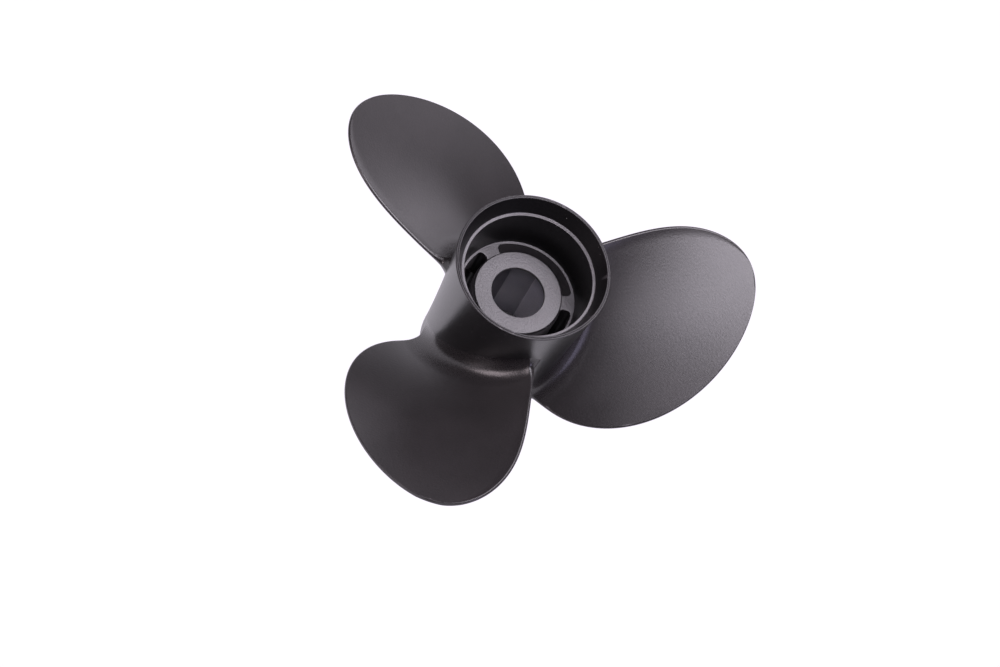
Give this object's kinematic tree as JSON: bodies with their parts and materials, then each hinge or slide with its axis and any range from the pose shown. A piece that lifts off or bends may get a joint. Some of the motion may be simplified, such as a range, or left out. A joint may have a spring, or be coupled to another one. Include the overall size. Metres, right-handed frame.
{
  "type": "boat propeller",
  "caption": "Right-hand boat propeller: broad raked blades on a flared through-exhaust barrel, with an inner hub, ribs and a splined drive kit.",
  "frame": {"origin": "on the hub axis, in the plane of the barrel's front rim and the sleeve's front face, where the shaft enters", "axes": "+Z along the hub axis, aft; +X through the middle of blade_1's root; +Y completes the right-handed frame"},
  "size_m": [0.3105, 0.3207, 0.14],
  "materials": {
    "hub_black": "satin",
    "blade_black": "satin",
    "bush_rubber": "matte",
    "sleeve_brass": "satin",
    "washer_steel": "satin"
  },
  "bodies": {
    "casting": {"barrel": "hub_black", "inner_hub": "hub_black", "rib_1": "hub_black", "rib_2": "hub_black", "rib_3": "hub_black", "blade_1": "blade_black", "blade_2": "blade_black", "blade_3": "blade_black"},
    "bush": {"drive_bush": "bush_rubber"},
    "sleeve": {"spline_sleeve": "sleeve_brass", "thrust_washer": "washer_steel", "retaining_ring": "washer_steel"}
  },
  "joints": [
    {"name": "kit_slide", "type": "slide", "parent": "casting", "child": "bush", "axis": [0, 0, 1], "range_m": [0, 0.069]},
    {"name": "cushion_twist", "type": "hinge", "parent": "bush", "child": "sleeve", "pos_m": [0, 0, 0], "axis": [0, 0, 1], "range_deg": [-8, 8], "stiffness_Nm_per_rad": 15}
  ]
}
